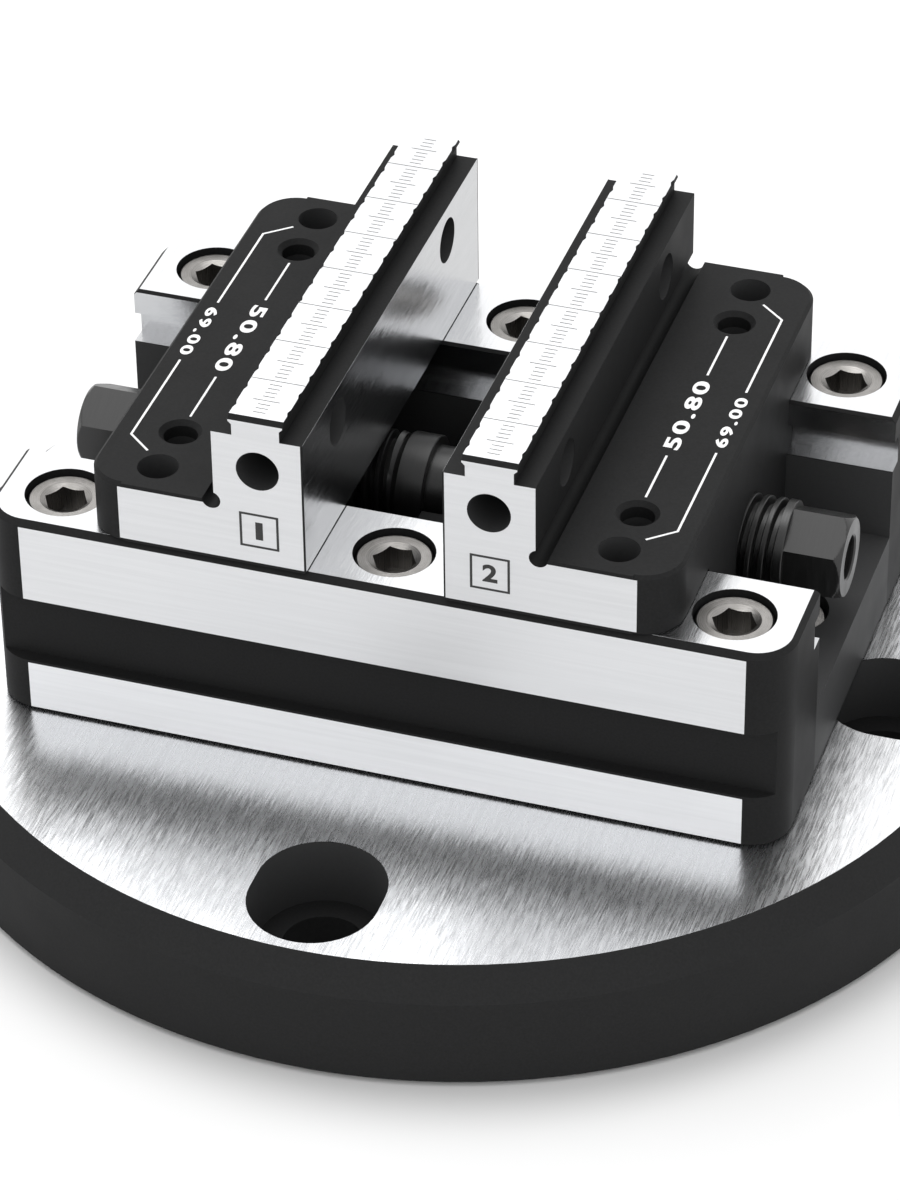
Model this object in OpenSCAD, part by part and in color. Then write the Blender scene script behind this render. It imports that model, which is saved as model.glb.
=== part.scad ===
// Self centering vise on a round base plate.
// X runs along the spindle, Y across the jaws, Z up. The origin is the middle of the plate's underside.

/* [Base plate] */
// Diameter of the round plate
plate_d = 168; // [164:1:200]
// Thickness of the plate
plate_t = 19; // [17:0.5:26]
// Chamfer around the top edge
plate_chamfer = 4; // [1:0.5:5]
// Chamfer around the bottom edge
plate_foot_chamfer = 1; // [0.5:0.25:2]
// Distance from the rim to the centre of each bolt slot
slot_rim_in = 16.7; // [16:0.1:17.5]
// Distance between the two arc centres of a slot
slot_travel = 3.5; // [0:0.5:5]
// Width of the recess for a bolt head
slot_head_w = 19; // [18:0.5:20]
// Width of the slot that the bolt passes through
slot_bolt_w = 12; // [9:0.5:14]
// Thickness left under a bolt head
slot_floor_t = 8; // [5:0.5:10]
// Diameter of the centring bore in the underside
centre_bore_d = 25; // [16:1:30]
// Depth of the centring bore
centre_bore_h = 6; // [3:0.5:8]

/* [Body] */
// Length along the spindle
body_l = 120; // [119:0.5:122]
// Width across the rails
body_w = 80; // [79:0.5:86]
// Radius of the vertical corners
body_corner_r = 6; // [3:0.5:8]
// Black chamfer around the top edge
body_chamfer = 0.8; // [0.4:0.1:1.2]
// Chamfer around the foot
body_foot_chamfer = 0.5; // [0.2:0.1:1]
// Height of the side groove's lower edge above the plate
groove_low = 9; // [7:0.5:11]
// Height of the side groove
groove_h = 11.2; // [9:0.2:12]
// Depth of the side groove
groove_depth = 2; // [1:0.1:2.4]

/* [Channel] */
// Thickness of the floor under the channel
floor_t = 13; // [12.5:0.1:14]
// Width of each rail, from the body's side to its guide lip
rail_w = 17.95; // [17.7:0.05:18.2]
// Thickness of the guide lips
lip_t = 4.3; // [3.8:0.1:4.6]
// Depth of the guide recess under each lip
recess_depth = 2.35; // [2.1:0.05:2.6]
// Height of the guide recess under each lip
recess_h = 4.7; // [4.4:0.1:5]
// Width of the ledge under the guide recess
ledge_w = 3; // [2.6:0.1:3.4]
// Chamfer along the top inner edge of the lips
lip_chamfer = 0.45; // [0.2:0.05:0.8]

/* [Spindle] */
// Height of the spindle's axis above the channel floor
axis_h = 11; // [10.6:0.1:11.4]
// Height of the rails above the spindle's axis
rail_rise = 10; // [9.6:0.1:12]
// Outer diameter of the thread
thread_d = 14; // [12:0.5:15]
// Travel of a jaw for one turn of the spindle
thread_pitch = 2; // [1.5:0.25:3]
// Depth of the thread
thread_depth = 1.2; // [0.8:0.1:1.4]
// Diameter of the neck that the centre fork holds
neck_d = 11.8; // [9:0.2:12]
// Diameter of the two collars beside the neck
collar_d = 14.6; // [14.2:0.1:15.4]
// Width of each collar
collar_w = 4.3; // [3:0.1:4.8]
// Width of the slope between a collar and the thread
collar_slope_w = 0.8; // [0.5:0.1:1.8]
// Step at the foot of the slope, above the thread's core
collar_foot_step = 0.7; // [0.2:0.1:0.9]
// Width of the plain rim between the thread and the hexagon
thread_rim_w = 1.2; // [0.8:0.1:1.6]
// Distance across the flats of the end hexagons
hex_af = 11.8; // [10.6:0.2:12]
// Length of each end hexagon
hex_l = 8.6; // [8:0.1:10.6]
// Distance of each end face inside the body's end
spindle_end_in = 1; // [0.5:0.5:2]
// Diameter left on the end face by its chamfer
hex_face_d = 11.6; // [10:0.2:12.4]
// Diameter of the centre hole in each end
end_hole_d = 6.6; // [4:0.2:8]
// Depth of the centre hole in each end
end_hole_h = 6; // [2:0.5:8]

/* [Centre fork] */
// Thickness of the fork's blade
fork_t = 8; // [7.6:0.1:8.4]
// Height of the fork's top above the spindle's axis
fork_rise = 0; // [0:0.5:3]
// Chamfer at the mouth of the blade's slot
fork_lead = 1.3; // [0.5:0.1:1.6]
// Length of the foot along the spindle
foot_l = 22; // [21.5:0.5:24]
// Height of the foot, sunk into the body's underside
foot_h = 6; // [5.5:0.1:6.5]
// Distance of the foot's screws and pins from the blade's middle
foot_hole_x = 7.2; // [7:0.1:7.4]
// Distance of the foot's screws from its sides
foot_screw_in = 7.3; // [4.5:0.1:9]

/* [Jaws] */
// Opening between the jaws as shown
jaw_gap = 20.5; // [19.4:0.1:40]
// Distance of the jaws' ends inside the body's sides
jaw_end_in = 0; // [0:0.1:2]
// Length of a jaw along the spindle
jaw_l = 33.5; // [32:0.5:35]
// Height of the jaw's base above the rails
jaw_base_h = 10; // [9.5:0.1:12]
// Thickness of the upright gripping wall
jaw_wall_t = 13.45; // [12.5:0.05:14.5]
// Height of the step above the rails
jaw_step_h = 21.8; // [21:0.1:26]
// Height of the jaw above the rails
jaw_h = 25; // [24.9:0.1:29]
// Radius of the outer vertical corners
jaw_corner_r = 6; // [2:0.5:8]
// Chamfer on the outer top edges of the base
jaw_chamfer = 0.5; // [0.2:0.1:1]
// Chamfer along the bottom edges, just above the rails
jaw_foot_chamfer = 0.25; // [0.1:0.05:0.6]
// Radius of the relief groove at the foot of the gripping wall
relief_r = 1.4; // [0.8:0.1:2]
// Distance of the relief groove's middle from the wall
relief_out = 0.42; // [0:0.02:1]

/* [Gripping strip] */
// Distance from the jaw's inner face to the strip
strip_in = 2.8; // [2:0.1:3.5]
// Width of the strip's top
strip_w = 8.05; // [7:0.05:9]
// Height of the strip's upright lip
strip_lip_h = 0.9; // [0.6:0.1:1.2]
// Overhang of the lip past the strip's neck
strip_overhang = 0.5; // [0.2:0.1:0.8]
// Chamfer at the two ends of the strip's top
strip_end_chamfer = 0.7; // [0.3:0.1:1]
// Distance between the gripping notches
notch_pitch = 4.62; // [4:0.02:6]
// Width of a gripping notch
notch_w = 1.8; // [1:0.1:2.4]
// Depth of a gripping notch
notch_depth = 0.25; // [0.1:0.05:0.4]

/* [Jaw holes] */
// Diameter of the hole in each end of the wall
end_stop_d = 6.4; // [5:0.2:7]
// Depth of the hole in each end of the wall
end_stop_h = 10; // [5:0.5:14]
// Height of the holes in the wall above the rails
wall_hole_z = 16.3; // [15:0.1:17]
// Diameter of the two holes through the wall
face_hole_d = 7; // [5:0.2:8]
// Distance of the holes through the wall from its ends
face_hole_in = 15; // [14:0.5:20]
// Distance from the outer face to the row of holes in the base
base_hole_in = 9.6; // [8:0.1:11]
// Core diameter of the tapped holes in the base
tapped_d = 5; // [4:0.2:6]
// Distance of the tapped holes from the jaw's ends
tapped_in = 14.6; // [13.6:0.1:15]
// Width of the countersink around a tapped hole
tapped_sink = 0.7; // [0.3:0.1:1]
// Diameter of the pin holes in the base
pin_hole_d = 6; // [4:0.5:7]
// Distance of the pin holes from the jaw's ends
pin_hole_in = 5.5; // [5:0.1:6]
// Depth of the tapped holes and pin holes
base_hole_h = 9; // [6:0.5:9]

/* [Jaw tongue] */
// Distance from the jaw's inner face to its tongue
tongue_in = 10; // [9:0.5:12]
// Running clearance between the tongue and the channel
tongue_play = 0.1; // [0.05:0.05:0.2]
// Thickness of the nut block under the thread
nut_floor_t = 1.96; // [1.5:0.02:2.5]

/* [Screws] */
// Distance of the end screws from the body's ends
screw_end_in = 9.9; // [9.5:0.1:10.5]
// Distance of the rail screws from the body's sides
screw_side_in = 8.7; // [8.4:0.1:8.8]
// Diameter of the screw heads
head_d = 11.2; // [10.6:0.1:11.4]
// Height of the screw heads
head_h = 7; // [5.5:0.5:7.5]
// Chamfer around the top of a screw head
head_chamfer = 0.3; // [0.1:0.1:0.6]
// Chamfer at the foot of a screw head
head_foot_chamfer = 0.2; // [0.1:0.1:0.4]
// Chamfer at a screw's tip
tip_chamfer = 0.4; // [0.1:0.1:0.8]
// Diameter of the recess around a screw head
head_bore_d = 12; // [11.8:0.1:12.2]
// Depth of a rail screw's head below the rail
rail_head_drop = 0.9; // [0.5:0.1:1.5]
// Depth of a channel screw's head below the channel floor
channel_head_drop = 1.7; // [1:0.1:2]
// Diameter of the screw's thread
screw_d = 8; // [6:0.5:8]
// Distance across the flats of the screw's socket
socket_af = 5.7; // [4:0.1:6.2]
// Depth of the screw's socket
socket_h = 4; // [2.5:0.5:4.5]
// Width of the rounded chamfer around the socket
socket_chamfer = 0.55; // [0.2:0.05:0.8]
// Thread length of the screws in the plate
screw_grip = 12; // [8:0.5:13]

/* [Small fasteners] */
// Diameter of the locating pins between body and plate
locating_pin_d = 6; // [4:0.5:8]
// Length of the locating pins
locating_pin_l = 20; // [12:1:20]
// Distance of the locating pins from the body's ends
locating_pin_in = 25; // [22:0.5:36]
// Share of its diameter that the diamond pin keeps between its flats
diamond_share = 0.6; // [0.5:0.05:0.8]
// Chamfer at the ends of the locating pins
locating_pin_chamfer = 0.5; // [0.2:0.1:1]
// Diameter of the fork screws' thread
fork_screw_d = 4; // [3:0.5:4]
// Diameter of the fork screws' heads
fork_head_d = 6; // [5:0.5:6]
// Height of the fork screws' heads
fork_head_h = 3.4; // [2.4:0.2:3.6]
// Depth of the fork screws' heads in the foot
fork_head_drop = 0.2; // [0.1:0.1:0.4]
// Distance across the flats of the fork screws' sockets
fork_socket_af = 2.5; // [2:0.1:3]
// Depth of the fork screws' sockets
fork_socket_h = 2; // [1:0.2:2.2]
// Thread length of the fork screws in the body
fork_grip = 6; // [4:0.5:6]
// Diameter of the fork pins
fork_pin_d = 3; // [2:0.5:4]
// Length of the fork pins
fork_pin_l = 10; // [8:0.5:11]
// Chamfer at the ends of the fork pins, and around the fork screws' sockets and tips
fork_pin_chamfer = 0.2; // [0.1:0.05:0.4]
// Spare depth of a blind hole past the tip of its screw or pin
tip_gap = 0.5; // [0.3:0.1:1]

/* [Fits] */
// Radial clearance of threads and pins in their holes
close_fit = 0.04; // [0.02:0.01:0.08]
// Radial clearance of a screw's shank in its through hole
shank_play = 0.4; // [0.2:0.05:0.5]
// Side clearance of the fork in the body, and of its blade between the collars
seat_play = 0.1; // [0.05:0.05:0.2]

/* [Hidden] */
$fn = 96;
eps = 0.01;
over = 1;
slot_centre_r = plate_d / 2 - slot_rim_in;
body_h = floor_t + axis_h + rail_rise;
floor_z = plate_t + floor_t;
rail_z = plate_t + body_h;
lip_z = rail_z - lip_t;
ledge_z = lip_z - recess_h;
lip_gap = body_w - 2 * rail_w;
recess_w = lip_gap + 2 * recess_depth;
channel_w = recess_w - 2 * ledge_w;
screw_x = body_l / 2 - screw_end_in;
rail_screw_y = body_w / 2 - screw_side_in;
locating_pin_x = body_l / 2 - locating_pin_in;
axis_z = floor_z + axis_h;
spindle_end = body_l / 2 - spindle_end_in;
thread_end = spindle_end - hex_l;
hex_d = hex_af / cos(30);
collar_in = fork_t / 2 + seat_play;
collar_out = collar_in + collar_w;
thread_start = collar_out + collar_slope_w;
rim_start = thread_end - thread_rim_w;
thread_core_d = thread_d - 2 * thread_depth;
thread_flat = thread_pitch / 8;
nut_d = thread_d + 2 * close_fit;
nut_foot_z = axis_z - nut_d / 2 - nut_floor_t;
fork_slot_w = neck_d + 2 * close_fit;
lead_reach = fork_slot_w / 2 + fork_lead;
foot_w = channel_w - 2 * seat_play;
foot_screw_y = foot_w / 2 - foot_screw_in;
fork_roof_z = plate_t + foot_h;
jaw_x = jaw_gap / 2;
jaw_w = body_w - 2 * jaw_end_in;
face_hole_y = jaw_w / 2 - face_hole_in;
tapped_y = jaw_w / 2 - tapped_in;
pin_hole_y = jaw_w / 2 - pin_hole_in;
strip_neck_z = jaw_h - strip_lip_h - strip_overhang;
notch_reach = floor((jaw_w / 2 - notch_w) / notch_pitch);
black = [0.2, 0.2, 0.21];
ground = [0.82, 0.83, 0.84];
stainless = [0.62, 0.6, 0.58];
steel = [0.45, 0.45, 0.46];

// Rectangle with rounded corners, centred on the origin
module rounded_rectangle(l, w, r) {
    square([l - 2 * r, w], center = true);
    square([l, w - 2 * r], center = true);
    for (x = [-1, 1], y = [-1, 1])
        translate([x * (l / 2 - r), y * (w / 2 - r)]) circle(r);
}

// Disc with a chamfered rim above and below
module chamfered_disc(d, h, top, foot) {
    rotate_extrude()
        polygon([
            [0, 0], [d / 2 - foot, 0], [d / 2, foot],
            [d / 2, h - top], [d / 2 - top, h], [0, h]
        ]);
}

// Block with rounded corners whose upper and lower edges are chamfered all round
module chamfered_block(l, w, h, r, top, foot) {
    translate([0, 0, foot]) linear_extrude(h - top - foot) rounded_rectangle(l, w, r);
    chamfer_rim(l, w, r, foot);
    translate([0, 0, h]) mirror([0, 0, 1]) chamfer_rim(l, w, r, top);
}

// Lower rim of a rounded block, where it widens from its foot to its full size
module chamfer_rim(l, w, r, c) {
    rotate([90, 0, 90]) linear_extrude(l - 2 * r, center = true)
        polygon([[-w / 2 + c, 0], [w / 2 - c, 0], [w / 2, c], [-w / 2, c]]);
    rotate([90, 0, 0]) linear_extrude(w - 2 * r, center = true)
        polygon([[-l / 2 + c, 0], [l / 2 - c, 0], [l / 2, c], [-l / 2, c]]);
    for (x = [-1, 1], y = [-1, 1])
        translate([x * (l / 2 - r), y * (w / 2 - r), 0]) cylinder(h = c, r1 = r - c, r2 = r);
}

// Long hole with round ends, lying along X and centred on the origin
module long_hole(w, travel, h) {
    linear_extrude(h) {
        square([travel, w], center = true);
        for (x = [-1, 1]) translate([x * travel / 2, 0]) circle(d = w);
    }
}

// Places of the rail screws in one pair across the body
module rail_pair(x) {
    for (y = [-1, 1]) translate([x, y * rail_screw_y, 0]) children();
}

// Places of all eight screws that hold the body to the plate, with the height of each head's top
module at_body_screws(rail_top, channel_top) {
    for (x = [-screw_x, 0, screw_x]) rail_pair(x) translate([0, 0, rail_top]) children();
    for (x = [-screw_x, screw_x]) translate([x, 0, channel_top]) children();
}

// Round plate with four bolt slots, tapped holes for the body and a centring bore below
module base_plate() {
    color(black) difference() {
        chamfered_disc(plate_d, plate_t, plate_chamfer, plate_foot_chamfer);
        for (a = [0:90:270]) rotate(a) translate([slot_centre_r, 0, 0]) {
            translate([0, 0, -over]) long_hole(slot_bolt_w, slot_travel, plate_t);
            translate([0, 0, slot_floor_t]) long_hole(slot_head_w, slot_travel, plate_t);
        }
        translate([0, 0, -over]) cylinder(h = centre_bore_h + over, d = centre_bore_d);
        at_body_screws(plate_t, plate_t) translate([0, 0, -screw_grip - tip_gap])
            cylinder(h = screw_grip + tip_gap + over, d = screw_d + 2 * close_fit);
        for (x = [-1, 1]) translate([x * locating_pin_x, 0, plate_t - locating_pin_l / 2 - tip_gap])
            cylinder(h = locating_pin_l, d = locating_pin_d + 2 * close_fit);
    }
}

// Cross-section of the channel between the rails
module channel_outline() {
    for (side = [0, 1]) mirror([side, 0])
        polygon([
            [-eps, floor_z], [channel_w / 2, floor_z], [channel_w / 2, ledge_z], [recess_w / 2, ledge_z],
            [recess_w / 2, lip_z], [lip_gap / 2, lip_z], [lip_gap / 2, rail_z - lip_chamfer],
            [lip_gap / 2 + lip_chamfer + over, rail_z + over], [-eps, rail_z + over]
        ]);
}

// Recess for a screw head, open above, with the shank's hole below it, hung from the top of the head
module screw_recess() {
    translate([0, 0, -head_h]) cylinder(h = head_h + body_h, d = head_bore_d);
    translate([0, 0, -body_h]) cylinder(h = body_h, d = screw_d + 2 * shank_play);
}

// Body block with the channel, the side grooves and all the holes
module body() {
    color(ground) difference() {
        translate([0, 0, plate_t])
            chamfered_block(body_l, body_w, body_h, body_corner_r, body_chamfer, body_foot_chamfer);
        rotate([90, 0, 90]) linear_extrude(body_l + 2 * over, center = true) channel_outline();
        for (side = [0, 1]) mirror([0, side, 0])
            translate([-body_l / 2 - over, body_w / 2 - groove_depth, plate_t + groove_low])
                cube([body_l + 2 * over, groove_depth + over, groove_h]);
        at_body_screws(rail_z - rail_head_drop, floor_z - channel_head_drop) screw_recess();
        for (x = [-1, 1]) translate([x * locating_pin_x, 0, plate_t - over])
            cylinder(h = locating_pin_l / 2 + tip_gap + over, d = locating_pin_d + 2 * close_fit);
        fork_pocket();
    }
}

// Pocket in the body's underside for the fork's foot, and the slot for its blade
module fork_pocket() {
    translate([0, 0, plate_t - over])
        linear_extrude(foot_h + over) square([foot_l + 2 * seat_play, channel_w], center = true);
    translate([0, 0, fork_roof_z - over])
        linear_extrude(floor_t) square([fork_t + 2 * seat_play, channel_w], center = true);
    for (x = [-1, 1]) {
        for (y = [-1, 1]) translate([x * foot_hole_x, y * foot_screw_y, plate_t])
            cylinder(h = foot_h + fork_grip + tip_gap, d = fork_screw_d + 2 * close_fit);
        translate([x * foot_hole_x, 0, plate_t])
            cylinder(h = fork_pin_l + tip_gap, d = fork_pin_d + 2 * close_fit);
    }
}

// Screw's head, hung from its top, with its hexagon socket
module socket_head(d, h, top, foot, af, deep, edge) {
    difference() {
        translate([0, 0, -h]) chamfered_disc(d, h, top, foot);
        translate([0, 0, -deep]) cylinder(h = deep + over, d = af / cos(30), $fn = 6);
        translate([0, 0, -edge]) cylinder(h = edge + eps, d1 = af, d2 = af / cos(30) + 2 * edge);
    }
}

// Screw's shank below its head, down to its chamfered tip
module shank(d, head, l, tip) {
    rotate_extrude()
        polygon([
            [0, eps - head], [0, -head - l], [d / 2 - tip, -head - l],
            [d / 2, tip - head - l], [d / 2, eps - head]
        ]);
}

// Screw of the eight that clamp the body, with its tip in the plate
module body_screw(top) {
    translate([0, 0, top]) {
        socket_head(head_d, head_h, head_chamfer, head_foot_chamfer, socket_af, socket_h, socket_chamfer);
        shank(screw_d, head_h, top - head_h - plate_t + screw_grip, tip_chamfer);
    }
}

// Pair of rail screws at one distance along the body
module rail_screws(x) {
    color(stainless) rail_pair(x) body_screw(rail_z - rail_head_drop);
}

// Screw in the channel floor at one end of the body
module channel_screw(x) {
    color(stainless) translate([x, 0, 0]) body_screw(floor_z - channel_head_drop);
}

// Locating pin, half in the plate and half in the body
module locating_pin(x) {
    translate([x, 0, plate_t - locating_pin_l / 2])
        chamfered_disc(locating_pin_d, locating_pin_l, locating_pin_chamfer, locating_pin_chamfer);
}

// Round locating pin at the left
module round_pin() {
    color(steel) locating_pin(-locating_pin_x);
}

// Locating pin at the right with two sides flattened, so that it holds the body across only
module diamond_pin() {
    color(steel) intersection() {
        locating_pin(locating_pin_x);
        translate([locating_pin_x, 0, plate_t])
            cube([locating_pin_d * diamond_share, 2 * locating_pin_d, 2 * locating_pin_l], center = true);
    }
}

// U-shaped block whose blade holds the spindle's neck, open above
module centre_fork() {
    color(black) difference() {
        union() {
            translate([0, 0, plate_t + seat_play]) linear_extrude(foot_h - seat_play)
                square([foot_l, foot_w], center = true);
            translate([0, 0, fork_roof_z - over]) linear_extrude(axis_z + fork_rise - fork_roof_z + over)
                square([fork_t, foot_w], center = true);
        }
        translate([-fork_t, 0, axis_z]) rotate([0, 90, 0]) cylinder(h = 2 * fork_t, d = fork_slot_w);
        translate([-fork_t, -fork_slot_w / 2, axis_z]) cube([2 * fork_t, fork_slot_w, body_h]);
        translate([-fork_t, 0, axis_z + fork_rise]) rotate([90, 0, 90])
            linear_extrude(2 * fork_t) polygon([
                [-lead_reach - over, over], [lead_reach + over, over],
                [fork_slot_w / 2, -fork_lead], [-fork_slot_w / 2, -fork_lead]
            ]);
        for (x = [-1, 1]) {
            for (y = [-1, 1]) translate([x * foot_hole_x, y * foot_screw_y, plate_t]) {
                cylinder(h = foot_h + over, d = fork_screw_d + 2 * close_fit);
                cylinder(h = fork_head_drop + fork_head_h, d = fork_head_d + 2 * close_fit);
            }
            translate([x * foot_hole_x, 0, plate_t])
                cylinder(h = foot_h + over, d = fork_pin_d + 2 * close_fit);
        }
    }
}

// Two screws through the foot from below, on one side of the spindle
module fork_screws(y) {
    c = fork_pin_chamfer;
    color(steel) for (x = [-1, 1])
        translate([x * foot_hole_x, y * foot_screw_y, plate_t + fork_head_drop]) mirror([0, 0, 1]) {
            socket_head(fork_head_d, fork_head_h, c, c, fork_socket_af, fork_socket_h, c);
            shank(fork_screw_d, fork_head_h, foot_h - fork_head_h - fork_head_drop + fork_grip, c);
        }
}

// Pin through the foot into the body, on one side of the blade
module fork_pin(x) {
    color(steel) translate([x * foot_hole_x, 0, plate_t + seat_play])
        chamfered_disc(fork_pin_d, fork_pin_l - seat_play, fork_pin_chamfer, fork_pin_chamfer);
}

// Outline of one half of the spindle above its axis, from the middle to the end of the thread
function thread_points() = [
    for (x = [thread_start : thread_pitch : rim_start - thread_pitch + eps])
        for (point = [
            [x + thread_flat, thread_core_d / 2],
            [x + thread_pitch / 2 - thread_flat, thread_d / 2],
            [x + thread_pitch / 2 + thread_flat, thread_d / 2],
            [x + thread_pitch - thread_flat, thread_core_d / 2]
        ]) point
];

// One half of the spindle, along +Z, without its hexagon
module spindle_half() {
    rotate_extrude() rotate(90) mirror([0, 1]) polygon(concat(
        [[0, 0], [0, neck_d / 2], [collar_in, neck_d / 2], [collar_in, collar_d / 2]],
        [[collar_out, collar_d / 2], [thread_start, thread_core_d / 2 + collar_foot_step]],
        [[thread_start, thread_core_d / 2]],
        thread_points(),
        [[rim_start, thread_core_d / 2], [rim_start, thread_d / 2]],
        [[thread_end, thread_d / 2], [thread_end, 0]]
    ));
}

// Hexagon at one end with a conical chamfer and a centre hole, along +Z
module spindle_hex() {
    intersection() {
        translate([0, 0, thread_end - over]) cylinder(h = hex_l + over, d = hex_d, $fn = 6);
        translate([0, 0, thread_end - 2 * over]) chamfered_disc(
            hex_d + over, hex_l + 2 * over, (hex_d + over - hex_face_d) / 2, eps);
    }
}

// Spindle in one piece, with opposite threads on its two halves
module spindle() {
    color(steel) translate([0, 0, axis_z]) for (side = [-1, 1]) rotate([0, side * 90, 0])
        difference() {
            union() {
                spindle_half();
                spindle_hex();
            }
            translate([0, 0, spindle_end - end_hole_h]) cylinder(h = end_hole_h + over, d = end_hole_d);
        }
}

// Side view of a jaw above the rails, with its inner face at zero and its outer face to the left
module jaw_outline() {
    c = jaw_chamfer;
    f = jaw_foot_chamfer;
    strip_out = strip_in + strip_w;
    polygon([
        [0, f], [0, jaw_step_h], [-strip_in - strip_overhang, jaw_step_h],
        [-strip_in - strip_overhang, strip_neck_z], [-strip_in, strip_neck_z + strip_overhang],
        [-strip_in, jaw_h], [-strip_out, jaw_h], [-strip_out, strip_neck_z + strip_overhang],
        [-strip_out + strip_overhang, strip_neck_z], [-strip_out + strip_overhang, jaw_step_h],
        [-jaw_wall_t, jaw_step_h], [-jaw_wall_t, jaw_base_h],
        [-jaw_l + c, jaw_base_h], [-jaw_l, jaw_base_h - c], [-jaw_l, f], [-jaw_l + f, 0], [-f, 0]
    ]);
}

// Cross-section of the tongue, from the guide neck down to the nut block
module tongue_outline() {
    for (side = [0, 1]) mirror([side, 0])
        polygon([
            [-eps, nut_foot_z], [channel_w / 2 - tongue_play, nut_foot_z],
            [channel_w / 2 - tongue_play, ledge_z + tongue_play / 2],
            [recess_w / 2 - tongue_play, ledge_z + tongue_play / 2],
            [recess_w / 2 - tongue_play, lip_z - tongue_play],
            [lip_gap / 2 - tongue_play, lip_z - tongue_play],
            [lip_gap / 2 - tongue_play, rail_z + over], [-eps, rail_z + over]
        ]);
}

// Corner cut that rounds an outer vertical edge of the base, at the positive end of Y
module jaw_corner_cut() {
    r = jaw_corner_r;
    translate([-jaw_l, jaw_w / 2, 0]) difference() {
        translate([-over, -r, -over]) cube([r + over, r + over, jaw_base_h + 2 * over]);
        translate([r, -r, jaw_foot_chamfer]) cylinder(h = jaw_base_h - jaw_chamfer - jaw_foot_chamfer, r = r);
        translate([r, -r, jaw_base_h - jaw_chamfer])
            cylinder(h = jaw_chamfer + eps, r1 = r, r2 = r - jaw_chamfer - eps);
        translate([r, -r, -eps])
            cylinder(h = jaw_foot_chamfer + eps, r1 = r - jaw_foot_chamfer - eps, r2 = r);
    }
}

// Notches in both edges of the gripping strip
module strip_notches() {
    strip_out = strip_in + strip_w;
    w = notch_w / 2;
    for (k = [-notch_reach : notch_reach]) translate([0, k * notch_pitch, strip_neck_z - eps])
        linear_extrude(strip_lip_h + strip_overhang + over) {
            polygon([[-strip_in - notch_depth, 0], [-strip_in + eps, w], [-strip_in + eps, -w]]);
            polygon([[-strip_out + notch_depth, 0], [-strip_out - eps, -w], [-strip_out - eps, w]]);
        }
}

// Cuts that the jaw has at both ends, given for the positive end of Y
module jaw_end_cuts() {
    jaw_corner_cut();
    // Sloped end of the strip's top
    translate([-jaw_l, jaw_w / 2, jaw_h]) rotate([0, 90, 0])
        linear_extrude(jaw_l) polygon([
            [-over, -strip_end_chamfer - over], [strip_end_chamfer + over, over], [-over, over]
        ]);
    // Hole in the end of the wall
    translate([-jaw_wall_t / 2, jaw_w / 2 - end_stop_h, wall_hole_z]) rotate([-90, 0, 0])
        cylinder(h = end_stop_h + over, d = end_stop_d);
    // Hole through the wall
    translate([-jaw_wall_t - over, face_hole_y, wall_hole_z]) rotate([0, 90, 0])
        cylinder(h = jaw_wall_t + 2 * over, d = face_hole_d);
    // Tapped hole with its countersink, and pin hole
    translate([base_hole_in - jaw_l, tapped_y, jaw_base_h - base_hole_h]) {
        cylinder(h = base_hole_h + over, d = tapped_d);
        translate([0, 0, base_hole_h - tapped_sink])
            cylinder(h = tapped_sink + eps, d1 = tapped_d, d2 = tapped_d + 2 * tapped_sink);
    }
    translate([base_hole_in - jaw_l, pin_hole_y, jaw_base_h - base_hole_h])
        cylinder(h = base_hole_h + over, d = pin_hole_d);
}

// Jaw at the left of the middle, with its gripping wall, base, tongue and threaded block in one piece
module jaw_left() {
    difference() {
        union() {
            translate([-jaw_x, 0, rail_z]) rotate([90, 0, 0])
                linear_extrude(jaw_w, center = true) jaw_outline();
            translate([-jaw_x - jaw_l, 0, 0]) rotate([90, 0, 90])
                linear_extrude(jaw_l - tongue_in) tongue_outline();
        }
        translate([-jaw_x, 0, rail_z]) {
            for (side = [0, 1]) mirror([0, side, 0]) jaw_end_cuts();
            strip_notches();
            translate([-jaw_wall_t - relief_out, 0, jaw_base_h]) rotate([90, 0, 0])
                cylinder(h = jaw_w + 2 * over, r = relief_r, center = true);
        }
        translate([-jaw_x - jaw_l - over, 0, axis_z]) rotate([0, 90, 0])
            cylinder(h = jaw_l + 2 * over, d = nut_d);
    }
}

// Left jaw
module jaw_1() {
    color(black) jaw_left();
}

// Right jaw, the mirror image of the left one
module jaw_2() {
    color(black) mirror([1, 0, 0]) jaw_left();
}

base_plate();
body();
rail_screws(-screw_x);  // rail_screws_left
rail_screws(0);  // rail_screws_middle
rail_screws(screw_x);  // rail_screws_right
channel_screw(-screw_x);  // channel_screw_left
channel_screw(screw_x);  // channel_screw_right
round_pin();
diamond_pin();
centre_fork();
fork_screws(-1);  // fork_screws_front
fork_screws(1);  // fork_screws_back
fork_pin(-1);  // fork_pin_left
fork_pin(1);  // fork_pin_right
spindle();
jaw_1();
jaw_2();
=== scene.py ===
"""Looks of a self centering vise on a round base plate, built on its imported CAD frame."""

import math

import bmesh
import bpy
import numpy as np
from mathutils import Matrix, Vector


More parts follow.
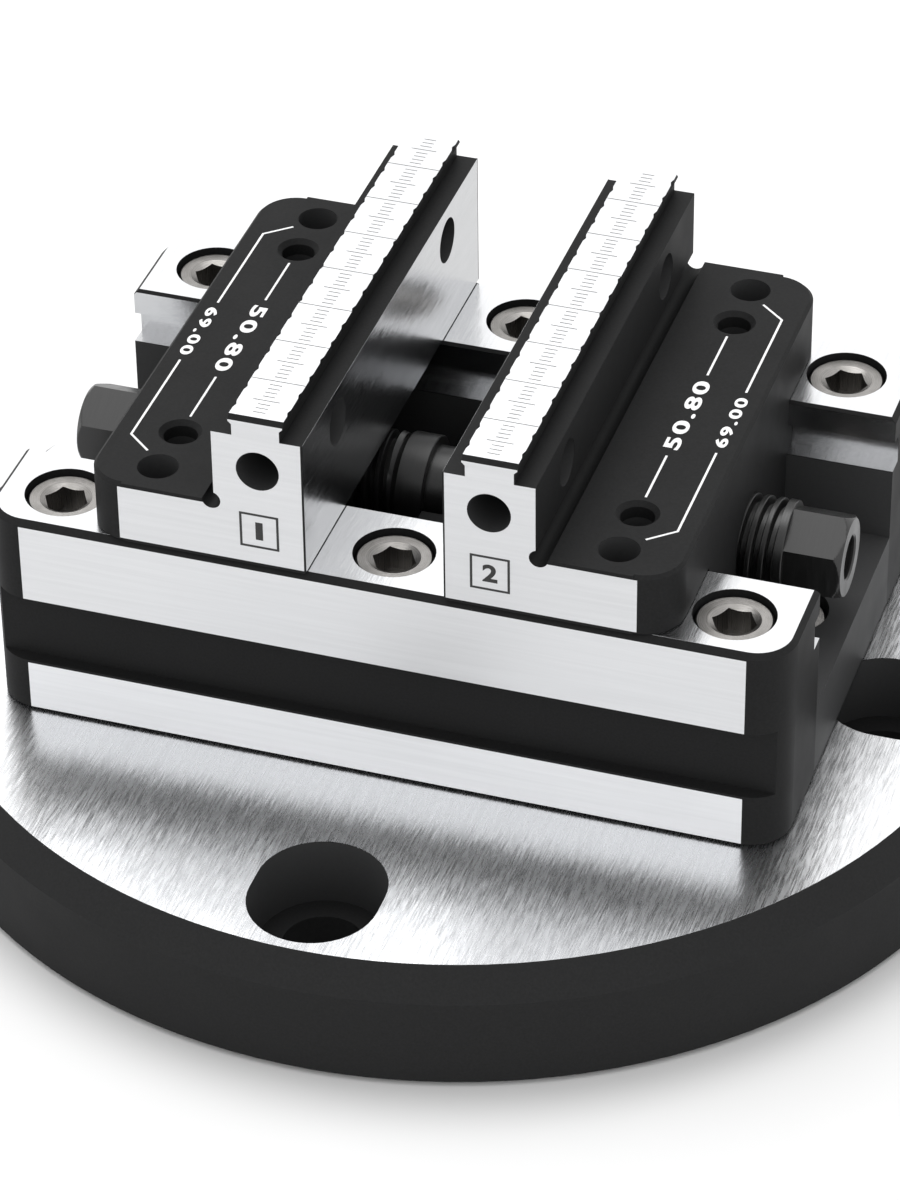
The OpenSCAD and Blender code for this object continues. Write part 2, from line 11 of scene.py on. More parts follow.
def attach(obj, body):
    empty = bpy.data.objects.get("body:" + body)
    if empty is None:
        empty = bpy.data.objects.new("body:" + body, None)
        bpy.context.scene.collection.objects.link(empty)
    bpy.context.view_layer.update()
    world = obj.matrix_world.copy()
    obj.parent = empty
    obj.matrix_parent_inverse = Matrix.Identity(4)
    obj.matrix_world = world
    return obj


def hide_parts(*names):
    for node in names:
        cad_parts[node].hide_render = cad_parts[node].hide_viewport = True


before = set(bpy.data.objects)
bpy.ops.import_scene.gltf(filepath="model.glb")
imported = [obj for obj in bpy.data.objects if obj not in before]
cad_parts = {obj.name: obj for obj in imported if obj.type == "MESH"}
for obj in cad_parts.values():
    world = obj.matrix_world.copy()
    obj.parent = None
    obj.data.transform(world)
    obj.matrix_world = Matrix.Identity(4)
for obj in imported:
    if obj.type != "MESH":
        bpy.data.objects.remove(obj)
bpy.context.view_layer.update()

MM = 0.001
scene = bpy.context.scene

# ==== Camera ====
# It stands where the photograph's camera stood, by a fit of the plate, body and jaws: a long lens from the right,
# above the front of the vise.
camera_side = math.radians(18.5)
camera_height = math.radians(36.467)
camera_roll = math.radians(-0.796)
camera_distance = 756.18 * MM
camera_target = Vector((-2.237, 0, 21.98)) * MM

camera = bpy.data.objects.new("camera", bpy.data.cameras.new("camera"))
camera.data.lens = 150.66
camera.data.clip_start, camera.data.clip_end = 0.05, 20
toward = Vector((
    math.sin(camera_side) * math.cos(camera_height),
    -math.cos(camera_side) * math.cos(camera_height),
    math.sin(camera_height),
))
level = (-toward).cross(Vector((0, 0, 1))).normalized()
upright = level.cross(-toward)
right = level * math.cos(camera_roll) + upright * math.sin(camera_roll)
up = upright * math.cos(camera_roll) - level * math.sin(camera_roll)
camera.matrix_world = Matrix.Translation(camera_target + toward * camera_distance) @ Matrix((right, up, toward)).transposed().to_4x4()
scene.collection.objects.link(camera)
scene.camera = camera

# ==== Light and floor ====
# A white sweep in a bright tent: nearly even light from everywhere, with one wide soft box overhead that gives
# the plate its faint shadow.
scene.view_settings.view_transform = "Standard"
world = bpy.data.worlds.new("studio")
world.use_nodes = True
world.node_tree.nodes["Background"].inputs["Color"].default_value = (1, 1, 1, 1)
world.node_tree.nodes["Background"].inputs["Strength"].default_value = 1.15
scene.world = world

soft_box = bpy.data.objects.new("soft_box", bpy.data.lights.new("soft_box", "AREA"))
soft_box.data.shape = "DISK"
soft_box.data.size = 0.9
soft_box.data.energy = 7
soft_box.matrix_world = Matrix.Translation((-0.25, 0.35, 1.1)) @ Vector((-0.25, 0.35, 1.1)).to_track_quat("Z", "Y").to_matrix().to_4x4()
scene.collection.objects.link(soft_box)


def new_material(name, **values):
    """Material with one Principled shader and plain values on its sockets. Returns the material and the shader."""
    made = bpy.data.materials.new(name)
    made.use_nodes = True
    shader = made.node_tree.nodes["Principled BSDF"]
    for socket, value in values.items():
        shader.inputs[socket.replace("_", " ")].default_value = value
    return made, shader


def add(made, kind, inputs=(), **settings):
    """New shader node. inputs pairs a socket's name or number with a value or with the output that feeds it."""
    node = made.node_tree.nodes.new("ShaderNode" + kind)
    for setting, value in settings.items():
        setattr(node, setting, value)
    for socket, value in dict(inputs).items():
        if isinstance(value, bpy.types.NodeSocket):
            made.node_tree.links.new(value, node.inputs[socket])
        else:
            node.inputs[socket].default_value = value
    return node


def solid(name, points, faces):
    """Mesh object from points in metres and faces, with doubled points merged and every face turned outward."""
    mesh = bpy.data.meshes.new(name)
    mesh.from_pydata(np.asarray(points).tolist(), [], np.asarray(faces).tolist())
    work = bmesh.new()
    work.from_mesh(mesh)
    bmesh.ops.remove_doubles(work, verts=work.verts, dist=2e-7)
    bmesh.ops.recalc_face_normals(work, faces=work.faces)
    work.to_mesh(mesh)
    work.free()
    made = bpy.data.objects.new(name, mesh)
    scene.collection.objects.link(made)
    return made


floor_half = 3.0
floor = solid(
    "floor",
    [(-floor_half, -floor_half, -5e-5), (floor_half, -floor_half, -5e-5), (floor_half, floor_half, -5e-5), (-floor_half, floor_half, -5e-5)],
    [(0, 1, 2, 3)],
)
floor_paint, floor_shader = new_material("floor_paint", Roughness=0.9)
floor_grain = add(floor_paint, "TexNoise", {"Vector": add(floor_paint, "TexCoord").outputs["Object"], "Scale": 40})
floor_tone = add(floor_paint, "MapRange", {"Value": floor_grain.outputs["Fac"], "To Min": 0.72, "To Max": 0.735})
floor_paint.node_tree.links.new(floor_tone.outputs["Result"], floor_shader.inputs["Base Color"])
floor.data.materials.append(floor_paint)

# ==== Base plate ====
# A round of steel, turned, milled and blackened all over, with its upper face then ground bright.
# The grinding marks run along Y.


def dress(node, made):
    """Gives a CAD node or a new piece its one material."""
    node.data.materials.clear()
    node.data.materials.append(made)


def sides(made):
    """Position in millimetres as three outputs: x, y and z."""
    place = add(made, "TexCoord").outputs["Object"]
    scaled = add(made, "VectorMath", {0: place, "Scale": 1000}, operation="SCALE").outputs[0]
    return add(made, "SeparateXYZ", {0: scaled}).outputs


def size_of(made, value):
    """Value without its sign."""
    return add(made, "Math", {0: value}, operation="ABSOLUTE").outputs[0]


def above(made, value, limit):
    """One where value is above limit, and zero elsewhere."""
    return add(made, "Math", {0: value, 1: limit}, operation="GREATER_THAN").outputs[0]


def below(made, value, limit):
    """One where value is below limit, and zero elsewhere."""
    return add(made, "Math", {0: value, 1: limit}, operation="LESS_THAN").outputs[0]


def both(made, *masks):
    """One where every mask is one."""
    result = masks[0]
    for mask in masks[1:]:
        result = add(made, "Math", {0: result, 1: mask}, operation="MULTIPLY").outputs[0]
    return result


def either(made, *masks):
    """One where any mask is one."""
    result = masks[0]
    for mask in masks[1:]:
        result = add(made, "Math", {0: result, 1: mask}, operation="MAXIMUM").outputs[0]
    return result


def near(made, first, second, reach):
    """One where a point with the offsets first and second from an axis is within reach of that axis."""
    flat = add(made, "CombineXYZ", {0: first, 1: second}).outputs[0]
    return below(made, add(made, "VectorMath", {0: flat}, operation="LENGTH").outputs["Value"], reach)


def off(made, value, centre):
    """Signed distance of value from centre."""
    return add(made, "Math", {0: value, 1: centre}, operation="SUBTRACT").outputs[0]


def nowhere(made):
    """Zero all over, for a piece that has no such faces."""
    return add(made, "Math", {0: 0.0, 1: 0.0}, operation="MULTIPLY").outputs[0]


def tones(made, *pairs):
    """Sum of masks that don't overlap, each times its own value."""
    result = nowhere(made)
    for mask, value in pairs:
        result = add(made, "Math", {0: mask, 1: value, 2: result}, operation="MULTIPLY_ADD").outputs[0]
    return result


def black_and_ground(name, ground, dull=nowhere, painted_hollow_light=nowhere, streak=0.12, rough=(0.18, 0.26), oxide=(0.012, 0.017)):
    """Black oxide steel with ground bright faces: ground(material) is their brightness, and zero on black faces. Where
    a ground face's tone is set below that of the tops, the difference is painted shade.
    The ground faces tilt their normal by a noise that is far longer along Y than across it. Where dull(material)
    is one, the face is duller and its noise runs along X. The black faces are mottled by a fine even noise, and inside
    holes, slots and the channel, where the third mask is one, they are made lighter by painted light."""
    made, shader = new_material(name, Specular_IOR_Level=0.07)
    link = made.node_tree.links.new
    bright = ground(made)
    mask = above(made, bright, 0.01)
    matte = dull(made)
    place = add(made, "TexCoord").outputs["Object"]
    along_y = add(made, "Mapping", {"Vector": place, "Scale": (4600, 260, 4600)}).outputs[0]
    along_x = add(made, "Mapping", {"Vector": place, "Scale": (130, 5000, 5000)}).outputs[0]
    stretched = add(made, "Mix", {0: matte, 4: along_y, 5: along_x}, data_type="VECTOR").outputs[1]
    lines = add(made, "TexNoise", {"Vector": stretched, "Scale": 1, "Detail": 3, "Roughness": 0.6})
    broad = add(made, "TexNoise", {"Vector": stretched, "Scale": 0.3, "Detail": 2})
    fine = add(made, "TexNoise", {"Vector": place, "Scale": 2500, "Detail": 4, "Roughness": 0.65})
    patchy = add(made, "TexNoise", {"Vector": place, "Scale": 120, "Detail": 2})

    streaky = add(made, "MapRange", {"Value": broad.outputs["Fac"], "From Min": 0.3, "From Max": 0.7, "To Min": 0.97, "To Max": 1.03}).outputs[0]
    steel = both(made, streaky, bright)
    black = add(made, "MapRange", {"Value": fine.outputs["Fac"], "From Min": 0.3, "From Max": 0.7, "To Min": oxide[0], "To Max": oxide[1]}).outputs[0]
    # Inside holes, slots and the channel the black is lifted by 0.03 as painted light.
    black_with_painted_light = add(made, "Math", {0: painted_hollow_light(made), 1: 0.03, 2: black}, operation="MULTIPLY_ADD").outputs[0]
    grey = add(made, "Mix", {"Factor": mask, "A": black_with_painted_light, "B": steel}).outputs[0]
    link(add(made, "VectorMath", {0: grey, 1: (0.987, 0.996, 1.014)}, operation="MULTIPLY").outputs[0], shader.inputs["Base Color"])
    polished = add(made, "MapRange", {"Value": lines.outputs["Fac"], "From Min": 0.3, "From Max": 0.7, "To Min": rough[0], "To Max": rough[1]}).outputs[0]
    steel_rough = add(made, "Math", {0: matte, 1: 0.2, 2: polished}, operation="MULTIPLY_ADD").outputs[0]
    black_rough = add(made, "MapRange", {"Value": patchy.outputs["Fac"], "From Min": 0.3, "From Max": 0.7, "To Min": 0.5, "To Max": 0.58}).outputs[0]
    link(add(made, "Mix", {"Factor": mask, "A": black_rough, "B": steel_rough}).outputs[0], shader.inputs["Roughness"])
    share = add(made, "Math", {0: matte, 1: -0.55, 2: 1.0}, operation="MULTIPLY_ADD").outputs[0]
    link(both(made, mask, share), shader.inputs["Metallic"])

    normal = add(made, "NewGeometry").outputs["Normal"]
    centred = add(made, "VectorMath", {0: lines.outputs["Color"], 1: (0.5, 0.5, 0.5)}, operation="SUBTRACT").outputs[0]
    amount = add(made, "Math", {0: mask, 1: streak}, operation="MULTIPLY").outputs[0]
    tilt = add(made, "VectorMath", {0: centred, "Scale": amount}, operation="SCALE").outputs[0]
    tilted = add(made, "VectorMath", {0: normal, 1: tilt}, operation="ADD").outputs[0]
    link(add(made, "VectorMath", {0: tilted}, operation="NORMALIZE").outputs[0], shader.inputs["Normal"])
    return made


def plate_ground(made):
    """The ground top of the plate."""
    return tones(made, (above(made, sides(made)["Z"], 18.99), 0.84))


def plate_painted_hollow_light(made):
    """The walls of the slots above the floors that the bolt heads rest on, where painted light makes the black lighter.
    """
    x, y, z = sides(made)
    return both(made, near(made, x, y, 79.9), above(made, z, 8.05), below(made, z, 18.9))


plate_steel = black_and_ground("plate_steel", plate_ground, painted_hollow_light=plate_painted_hollow_light, streak=0.19, rough=(0.23, 0.32), oxide=(0.0155, 0.0205))
dress(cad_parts["base_plate"], plate_steel)

# ==== Body ====
# One milled block, blackened, then ground on the rail tops, on the two side bands and in the guide that the
# jaws' tongues run in. Its corners, chamfers, side grooves and ends stay black.


def body_ground_with_painted_shade(made):
    """Ground faces of the body: the rail tops, the flat of both sides, and the guide's lips, recess and ledge, with
    painted shade in the lower tones of the upper band and the guide.
    """
    x, y, z = sides(made)
    along, across = size_of(made, x), size_of(made, y)
    flank = both(made, above(made, across, 39.99), below(made, along, 54.2))
    upper_band = both(made, flank, above(made, z, 38.0), below(made, z, 51.94))
    lower_band = both(made, flank, below(made, z, 27.57))
    high = both(made, above(made, z, 43.95), below(made, z, 52.53))
    inward = both(made, below(made, along, 59.99), below(made, add(made, "Math", {0: along, 1: z}).outputs[0], 112.1))
    guide = both(made, above(made, across, 21.43), below(made, across, 24.45), high, inward)
    # Rail tops 0.84 and lower band 0.82 are the ground steel's tone; the upper band's 0.72 and the guide's 0.62 are
    # painted shade.
    return tones(made, (above(made, z, 52.99), 0.84), (upper_band, 0.72), (lower_band, 0.82), (guide, 0.62))


def body_bands(made):
    """The ground bands on the body's two sides."""
    return above(made, size_of(made, sides(made)["Y"]), 39.99)


def body_channel_painted_light(made):
    """The walls and the floor of the channel, where painted light makes the black lighter."""
    x, y, z = sides(made)
    return both(made, below(made, size_of(made, y), 21.45), above(made, z, 20.0), below(made, z, 43.9))


dress(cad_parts["body"], black_and_ground("body_steel", body_ground_with_painted_shade, body_bands, body_channel_painted_light, streak=0.09))

# ==== Screws ====
# Socket head screws of stainless steel, turned, with their heads sunk in the rails and the channel floor.
# The turning marks run round each screw's own axis.


def screw_steel(name, x_at, y_at, socket_z, tone_and_painted_light):
    """Stainless steel of one mean tone, with fine rings around the axis at (x_at, plus or minus y_at), in millimetres.
    Inside the head, below socket_z, the socket is darkened by painted shade."""
    made, shader = new_material(name, Metallic=1.0)
    link = made.node_tree.links.new
    x, y, z = sides(made)
    flat = add(made, "CombineXYZ", {0: off(made, x, x_at), 1: off(made, size_of(made, y), y_at)}).outputs[0]
    radius = add(made, "VectorMath", {0: flat}, operation="LENGTH").outputs["Value"]
    rings = add(made, "TexNoise", {"W": radius, "Scale": 14, "Detail": 2}, noise_dimensions="1D")
    smear = add(made, "TexNoise", {"Vector": flat, "Scale": 0.35, "Detail": 2})
    tone = add(made, "ValToRGB", {"Fac": smear.outputs["Fac"]})
    tone.color_ramp.elements[0].position, tone.color_ramp.elements[0].color = 0.35, (0.88 * tone_and_painted_light, 0.85 * tone_and_painted_light, 0.81 * tone_and_painted_light, 1)
    tone.color_ramp.elements[1].position, tone.color_ramp.elements[1].color = 0.65, (1.12 * tone_and_painted_light, 1.08 * tone_and_painted_light, 1.04 * tone_and_painted_light, 1)
    # The socket inside the head is darkened by 15 percent: painted shade.
    socket = both(made, below(made, radius, 3.4), below(made, z, socket_z))
    shade = add(made, "Math", {0: socket, 1: -0.15, 2: 1.0}, operation="MULTIPLY_ADD").outputs[0]
    link(add(made, "VectorMath", {0: tone.outputs[0], "Scale": shade}, operation="SCALE").outputs[0], shader.inputs["Base Color"])
    link(add(made, "MapRange", {"Value": rings.outputs["Fac"], "From Min": 0.3, "From Max": 0.7, "To Min": 0.26, "To Max": 0.34}).outputs[0], shader.inputs["Roughness"])
    bump = add(made, "Bump", {"Height": rings.outputs["Fac"], "Strength": 0.12, "Distance": 0.0002})
    link(bump.outputs[0], shader.inputs["Normal"])
    return made


# The channel screws' tone of 0.5, against 0.275 for the rail screws, is painted light on heads that sit deep in the
# channel.
for node, x_at, y_at, socket_z, tone_and_painted_light in (
    ("rail_screws_left", -50.1, 31.3, 51.5, 0.275),
    ("rail_screws_middle", 0, 31.3, 51.5, 0.275),
    ("rail_screws_right", 50.1, 31.3, 51.5, 0.275),
    ("channel_screw_left", -50.1, 0, 29.7, 0.5),
    ("channel_screw_right", 50.1, 0, 29.7, 0.5),
):
    dress(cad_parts[node], screw_steel(node + "_steel", x_at, y_at, socket_z, tone_and_painted_light))

# ==== Centre fork ====
# A milled block, blackened all over and screwed up into the body from below. Its slot holds the spindle's neck
# between the two collars.
dress(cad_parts["centre_fork"], black_and_ground("fork_steel", nowhere))

# ==== Pins and hidden screws ====
# Hardened and ground locating pins between plate and body, and the screws and pins in the fork's foot.
# None of them is seen from outside.


def turned(name, dark, light, low, high):
    """Turned metal: noise stretched into rings around the X axis moves both its tone and its roughness."""
    made, shader = new_material(name, Metallic=1.0)
    link = made.node_tree.links.new
    place = add(made, "TexCoord").outputs["Object"]
    rings = add(made, "TexNoise", {"Vector": add(made, "Mapping", {"Vector": place, "Scale": (4000, 150, 150)}).outputs[0], "Scale": 1, "Detail": 3})
    tone = add(made, "ValToRGB", {"Fac": rings.outputs["Fac"]})
    tone.color_ramp.elements[0].position, tone.color_ramp.elements[0].color = 0.3, (*dark, 1)
    tone.color_ramp.elements[1].position, tone.color_ramp.elements[1].color = 0.7, (*light, 1)
    link(tone.outputs[0], shader.inputs["Base Color"])
    link(add(made, "MapRange", {"Value": rings.outputs["Fac"], "From Min": 0.3, "From Max": 0.7, "To Min": low, "To Max": high}).outputs[0], shader.inputs["Roughness"])
    return made


pin_steel = turned("pin_steel", (0.36, 0.36, 0.37), (0.46, 0.46, 0.47), 0.2, 0.3)
for node in ("round_pin", "diamond_pin", "fork_screws_front", "fork_screws_back", "fork_pin_left", "fork_pin_right"):
    dress(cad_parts[node], pin_steel)

# ==== Spindle ====
# One turned bar, blackened and oiled: a neck in the fork, a collar at each side of it, threads of opposite hands
# towards the ends, and a hexagon for a wrench at each end.
spindle_axis = 43.0
thread_crest, thread_core, thread_lead = 7.0, 5.8, 2.0
thread_from, thread_to = 9.2, 49.2
around = 120


def spindle_half():
    """Grid of the half on the positive side, as x and radius over rows and angles, in millimetres.
    In the thread each row follows the helix: its x is the row's share of the lead plus the angle's share of one lead,
    held between the thread's two ends, and its radius is the thread's profile there. Elsewhere a row is one ring."""
    angle = np.linspace(0, 2 * np.pi, around + 1)
    hexagon = 5.9 / np.cos(((angle + np.pi / 6) % (np.pi / 3)) - np.pi / 6)
    x, r = [], []
    for along, radius in ((0, 5.9), (4.1, 5.9), (4.1, 7.15), (4.25, 7.3), (8.25, 7.3), (8.4, 7.2), (thread_from, 6.5)):
        x.append(np.full(around + 1, along))
        r.append(np.full(around + 1, radius))

    shares = np.array([0.16, 0.3, 0.35, 0.65, 0.7, 0.84])
    radii = np.array([thread_core, thread_crest - 0.12, thread_crest, thread_crest, thread_crest - 0.12, thread_core])
    turns = int((thread_to - thread_from) / thread_lead) + 3
    rows = (np.arange(turns)[:, None] + shares).ravel()[:, None]
    helix = np.clip(thread_from + thread_lead * (rows - angle / (2 * np.pi)), thread_from, thread_to)
    phase = (helix - thread_from) / thread_lead + angle / (2 * np.pi)
    depth = np.interp(phase.ravel(), shares, radii, period=1).reshape(phase.shape)
    depth = np.minimum(depth, np.interp(helix, [thread_from, 9.9], [6.5, thread_crest]))
    x += list(helix)
    r += list(depth)

    for along, radius in ((thread_to, 7.0), (50.3, 6.95), (50.4, 6.84)):
        x.append(np.full(around + 1, along))
        r.append(np.full(around + 1, radius))
    for along in (50.4, 57.95, 58.15, 58.35, 58.55, 58.75, 58.88, 59.0):
        x.append(np.full(around + 1, along))
        r.append(np.minimum(hexagon, 5.8 + 59.0 - along))
    for along, radius in ((59.0, 3.55), (58.75, 3.3), (53.0, 3.3), (52.0, 0.0)):
        x.append(np.full(around + 1, along))
        r.append(np.full(around + 1, radius))
    x, r = np.array(x), np.array(r)
    return np.stack([x, r * np.cos(angle), spindle_axis + r * np.sin(angle)], -1) * MM


def grid_faces(rows, columns, first=0):
    """Quads of a grid whose points are numbered row by row from first."""
    index = first + np.arange(rows * columns).reshape(rows, columns)
    return np.stack([index[:-1, :-1], index[1:, :-1], index[1:, 1:], index[:-1, 1:]], -1).reshape(-1, 4)


half = spindle_half()
mirrored = half * (-1, 1, 1)
quads = grid_faces(*half.shape[:2])
spindle = solid(
    "spindle_turned",
    np.concatenate([half.reshape(-1, 3), mirrored.reshape(-1, 3)]),
    np.concatenate([quads, quads[:, ::-1] + half.shape[0] * half.shape[1]]),
)
spindle.data.polygons.foreach_set("use_smooth", np.ones(len(spindle.data.polygons), bool))
spindle.data.set_sharp_from_angle(angle=math.radians(22))

spindle_steel, spindle_shader = new_material("spindle_steel", Specular_IOR_Level=0.6)
along_x = size_of(spindle_steel, sides(spindle_steel)["X"])
end_face = above(spindle_steel, along_x, 58.98)
spindle_place = add(spindle_steel, "TexCoord").outputs["Object"]
spindle_rings = add(spindle_steel, "TexNoise", {"Vector": add(spindle_steel, "Mapping", {"Vector": spindle_place, "Scale": (5000, 200, 200)}).outputs[0], "Scale": 1, "Detail": 3})
spindle_dark = add(spindle_steel, "MapRange", {"Value": spindle_rings.outputs["Fac"], "From Min": 0.3, "From Max": 0.7, "To Min": 0.004, "To Max": 0.01}).outputs[0]
spindle_tone = add(spindle_steel, "Mix", {"Factor": end_face, "A": spindle_dark, "B": 0.015})
spindle_steel.node_tree.links.new(spindle_tone.outputs[0], spindle_shader.inputs["Base Color"])
spindle_rough = add(spindle_steel, "MapRange", {"Value": spindle_rings.outputs["Fac"], "From Min": 0.3, "From Max": 0.7, "To Min": 0.3, "To Max": 0.42})
spindle_steel.node_tree.links.new(spindle_rough.outputs[0], spindle_shader.inputs["Roughness"])
spindle.data.materials.append(spindle_steel)
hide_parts("spindle")
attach(spindle, "spindle")
dress(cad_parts["spindle"], spindle_steel)

# ==== Jaws ====
# Two mirrored milled blocks, blackened, then ground on the inner face, both ends and the narrow strip on top
# that grips the work.


def jaw_ground_with_painted_shade(made):
    """Ground faces of a jaw: both ends, the top of the strip, and the inner face, with black edges between them and
    a black border along the top of the base. The ends and the inner face carry painted shade in their lower tones."""
    x, y, z = sides(made)
    along, across = size_of(made, x), size_of(made, y)
    inner = both(made, below(made, along, 10.27), below(made, across, 39.75), above(made, z, 53.2))
    border = both(made, above(made, along, 23.75), above(made, z, 62.37))
    ends = both(made, above(made, across, 39.967), above(made, along, 10.5), above(made, z, 53.47), below(made, border, 0.5))
    # The strip's top 0.86 is the ground steel's tone; the ends' 0.7 and the inner face's 0.51 are painted shade.
    return tones(made, (above(made, z, 77.99), 0.86), (inner, 0.51), (ends, 0.7))


def jaw_ends(made):
    """Both ends of a jaw."""
    return above(made, size_of(made, sides(made)["Y"]), 39.967)


def jaw_holes_painted_light(made):
    """The holes in the base, in the ends of the wall and through the wall, where painted light makes the black lighter.
    """
    x, y, z = sides(made)
    along, across = size_of(made, x), size_of(made, y)
    pins = both(made, near(made, off(made, along, 34.15), off(made, across, 34.5), 3.05), below(made, z, 62.95))
    tapped = both(made, near(made, off(made, along, 34.15), off(made, across, 25.4), 2.6), below(made, z, 60.5))
    end = both(made, near(made, off(made, along, 16.975), off(made, z, 69.3), 3.25), below(made, across, 39.95))
    wall = both(made, near(made, off(made, across, 25.0), off(made, z, 69.3), 3.55), above(made, along, 10.3), below(made, along, 23.65))
    return either(made, pins, tapped, end, wall)


jaw_steel = black_and_ground("jaw_steel", jaw_ground_with_painted_shade, jaw_ends, jaw_holes_painted_light, streak=0.18, rough=(0.2, 0.27))
for node in ("jaw_1", "jaw_2"):
    dress(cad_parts[node], jaw_steel)

# ==== Rulers on the strips ====
# Lines burnt into the ground tops with a laser: a short one each millimetre, a longer one each five, and one
# across the strip each ten.
ruler_paint, ruler_shader = new_material("ruler_marks", Roughness=0.5)
ruler_speckle = add(ruler_paint, "TexNoise", {"Vector": add(ruler_paint, "TexCoord").outputs["Object"], "Scale": 3000})
ruler_tone = add(ruler_paint, "MapRange", {"Value": ruler_speckle.outputs["Fac"], "To Min": 0.03, "To Max": 0.12})
ruler_paint.node_tree.links.new(ruler_tone.outputs[0], ruler_shader.inputs["Base Color"])


def slabs(name, boxes):
    """Closed boxes in one mesh, from rows of lowest x, highest x, lowest y, highest y, lowest z, highest z in millimetres."""
    boxes = np.asarray(boxes, float) * MM
    x, y, z = boxes[:, 0:2], boxes[:, 2:4], boxes[:, 4:6]
    corners = np.stack([np.stack([x[:, i], y[:, j], z[:, k]], -1) for i in (0, 1) for j in (0, 1) for k in (0, 1)], 1)
    quads = np.array([(0, 1, 3, 2), (4, 6, 7, 5), (0, 4, 5, 1), (2, 3, 7, 6), (0, 2, 6, 4), (1, 5, 7, 3)])
    return solid(name, corners.reshape(-1, 3), (np.arange(len(boxes))[:, None, None] * 8 + quads).reshape(-1, 4))


for side, body in ((-1, "jaw_1"), (1, "jaw_2")):
    middle = side * 17.08
    marks = []
    for step in range(-38, 39):
        half_length = 4.0 if step % 10 == 0 else 1.95 if step % 5 == 0 else 0.9
        if step % 10 == 0:
            half_length = 3.99
        marks.append((middle - half_length, middle + half_length, step - 0.07, step + 0.07, 77.98, 78.012))
    ruler = slabs(body + "_ruler", marks)
    ruler.data.materials.append(ruler_paint)
    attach(ruler, body)

# ==== White lines and numbers on the bases ====
# Shallow engraving filled with white: a broken line joins each pair of holes, and the number in its gap is the
# distance between them in millimetres.
white_paint, white_shader = new_material("white_fill", Roughness=0.55)
white_speckle = add(white_paint, "TexNoise", {"Vector": add(white_paint, "TexCoord").outputs["Object"], "Scale": 4000, "Detail": 2})
white_tone = add(white_paint, "MapRange", {"Value": white_speckle.outputs["Fac"], "From Min": 0.3, "From Max": 0.7, "To Min": 0.72, "To Max": 0.84})
white_paint.node_tree.links.new(white_tone.outputs[0], white_shader.inputs["Base Color"])


def ribbon(name, points, width, lift, place, closed=False):
    """Closed flat bar of one width along a line of points (u, v), mitred where it bends, from minus lift to plus lift.
    Each corner is moved sideways by half the width over the cosine of half its turn. place turns u, v, w into metres."""
    points = np.asarray(points, float)
    ahead = np.roll(points, -1, 0) - points
    ahead /= np.linalg.norm(ahead, axis=1)[:, None]
    behind = np.roll(ahead, 1, 0)
    if not closed:
        behind[0], ahead[-1] = ahead[0], behind[-1]
    turn = ahead + behind
    turn /= np.linalg.norm(turn, axis=1)[:, None]
    reach = width / 2 / (turn * ahead).sum(1)
    aside = np.stack([-turn[:, 1], turn[:, 0]], 1) * reach[:, None]
    outline = np.stack([points + aside, points - aside], 1)
    low = np.concatenate([outline, np.full((*outline.shape[:2], 1), -lift)], 2)
    high = np.concatenate([outline, np.full((*outline.shape[:2], 1), lift)], 2)
    ring = np.stack([low[:, 0], low[:, 1], high[:, 1], high[:, 0]], 1)
    count = len(points)
    index = np.arange(count * 4).reshape(count, 4)
    index = np.concatenate([index, index[:1]]) if closed else index
    index = np.concatenate([index, index[:, :1]], 1)
    quads = np.stack([index[:-1, :-1], index[1:, :-1], index[1:, 1:], index[:-1, 1:]], -1).reshape(-1, 4)
    if not closed:
        quads = np.concatenate([quads, [index[0, :4], index[-1, :4]]])
    return solid(name, place(ring.reshape(-1, 3)), quads)


def numbers(name, text, length, height, lift, turn):
    """Plain figures as a closed thin mesh of a given length and height in millimetres, both measured on the figures.
    The matrix turn moves them to their place and works in metres."""
    curve = bpy.data.curves.new(name, "FONT")
    curve.body = text
    curve.size = height * 1.42 * MM
    curve.space_character = 1.22
    curve.offset = 0.045 * height * MM
    curve.extrude = lift * MM
    curve.resolution_u = 6
    holder = bpy.data.objects.new(name, curve)
    scene.collection.objects.link(holder)
    bpy.context.view_layer.update()
    mesh = bpy.data.meshes.new_from_object(holder.evaluated_get(bpy.context.evaluated_depsgraph_get()))
    bpy.data.objects.remove(holder)
    corners = np.empty(len(mesh.vertices) * 3)
    mesh.vertices.foreach_get("co", corners)
    corners = corners.reshape(-1, 3)
    low, high = corners.min(0), corners.max(0)
    corners -= (low + high) / 2
    corners *= (length * MM / (high[0] - low[0]), height * MM / (high[1] - low[1]), 1)
    mesh.vertices.foreach_set("co", corners.ravel())
    mesh.transform(turn)
    mesh.name = name
    made = bpy.data.objects.new(name, mesh)
    scene.collection.objects.link(made)
    return made


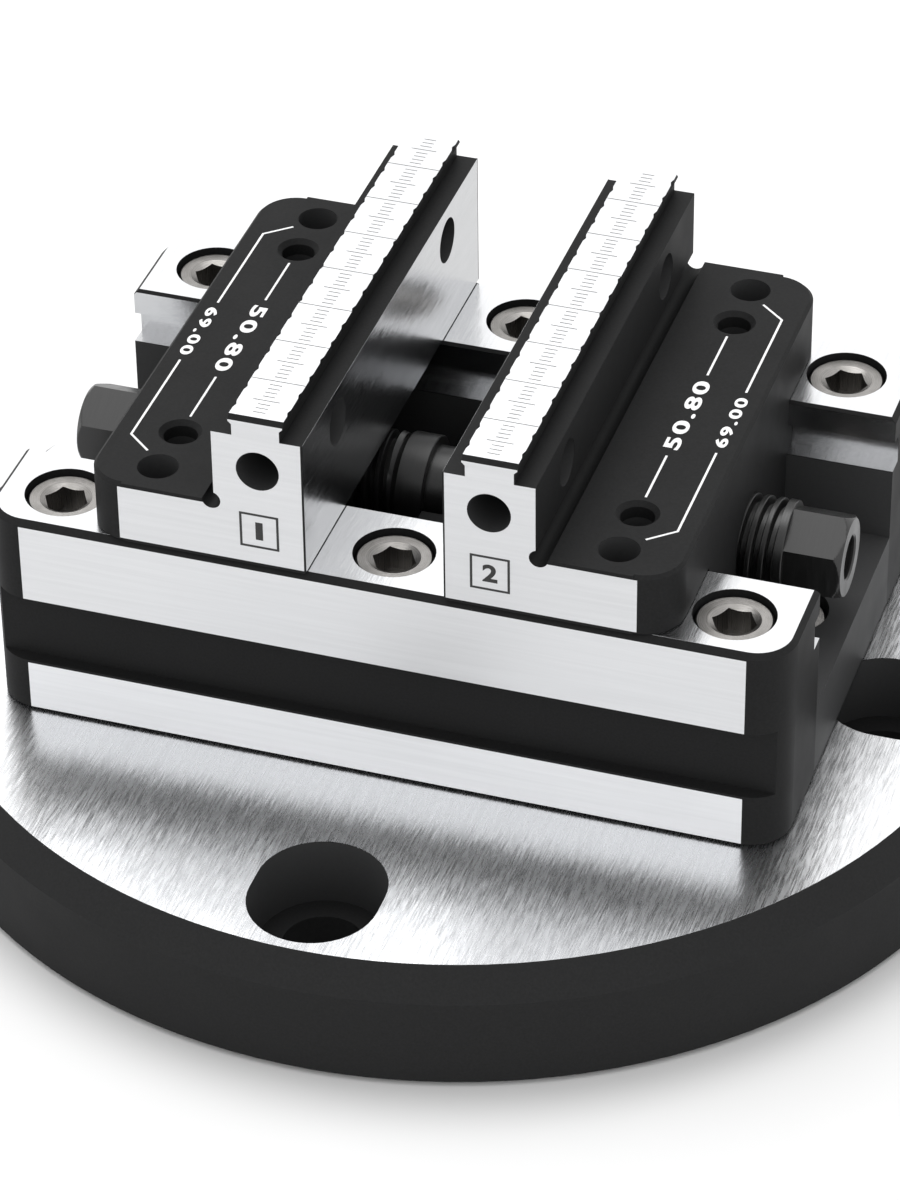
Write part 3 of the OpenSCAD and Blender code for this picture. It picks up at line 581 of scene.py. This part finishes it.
for side, body in ((-1, "jaw_1"), (1, "jaw_2")):

    def on_base(points, side=side):
        """Puts u along the outward direction of this jaw, v along Y and w above its base."""
        return (points * (side, 1, 1) + (0, 0, 63.0)) * MM

    # Tops of the figures point to the middle of the vise
    upward = Matrix(((0, -side, 0), (side, 0, 0), (0, 0, 1))).to_4x4()
    pieces = []
    for end in (-1, 1):
        pieces.append(ribbon(f"{body}_inner_line_{end}", [(34.15, end * 10.7), (34.15, end * 21.4)], 0.33, 0.02, on_base))
        pieces.append(ribbon(f"{body}_outer_line_{end}", [(40.72, end * 8.0), (40.72, end * 28.0), (37.0, end * 31.2)], 0.33, 0.02, on_base))
    for text, length, height, across in (("50.80", 18.0, 2.4, 34.15), ("69.00", 13.0, 1.9, 40.72)):
        turn = Matrix.Translation((side * across * MM, 0, 63.0 * MM)) @ upward
        pieces.append(numbers(f"{body}_number_{text[:2]}", text, length, height, 0.02, turn))
    for piece in pieces:
        piece.data.materials.append(white_paint)
        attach(piece, body)

# ==== Boxed figures on the jaws' front ends ====
# A figure in a square frame, burnt dark into the ground end, tells the two jaws apart.
dark_paint, dark_shader = new_material("dark_marks", Roughness=0.6)
dark_speckle = add(dark_paint, "TexNoise", {"Vector": add(dark_paint, "TexCoord").outputs["Object"], "Scale": 4000, "Detail": 2})
dark_tone = add(dark_paint, "MapRange", {"Value": dark_speckle.outputs["Fac"], "To Min": 0.01, "To Max": 0.03})
dark_paint.node_tree.links.new(dark_tone.outputs[0], dark_shader.inputs["Base Color"])

for side, body, figure in ((-1, "jaw_1", "1"), (1, "jaw_2", "2")):
    middle = side * 17.05

    def on_end(points, middle=middle):
        """Puts u to the right on the front end, v up and w out of it."""
        return np.stack([points[:, 0] + middle, -40.0 - points[:, 2], points[:, 1] + 59.0], 1) * MM

    square = [(-2.75, -2.75), (2.75, -2.75), (2.75, 2.75), (-2.75, 2.75)]
    standing = Matrix(((1, 0, 0), (0, 0, -1), (0, 1, 0))).to_4x4()
    turn = Matrix.Translation((middle * MM, -40.0 * MM, 59.0 * MM)) @ standing
    for piece in (
        ribbon(body + "_frame", square, 0.36, 0.02, on_end, closed=True),
        numbers(body + "_figure", figure, 1.1 if side < 0 else 2.2, 3.0, 0.02, turn),
    ):
        piece.data.materials.append(dark_paint)
        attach(piece, body)
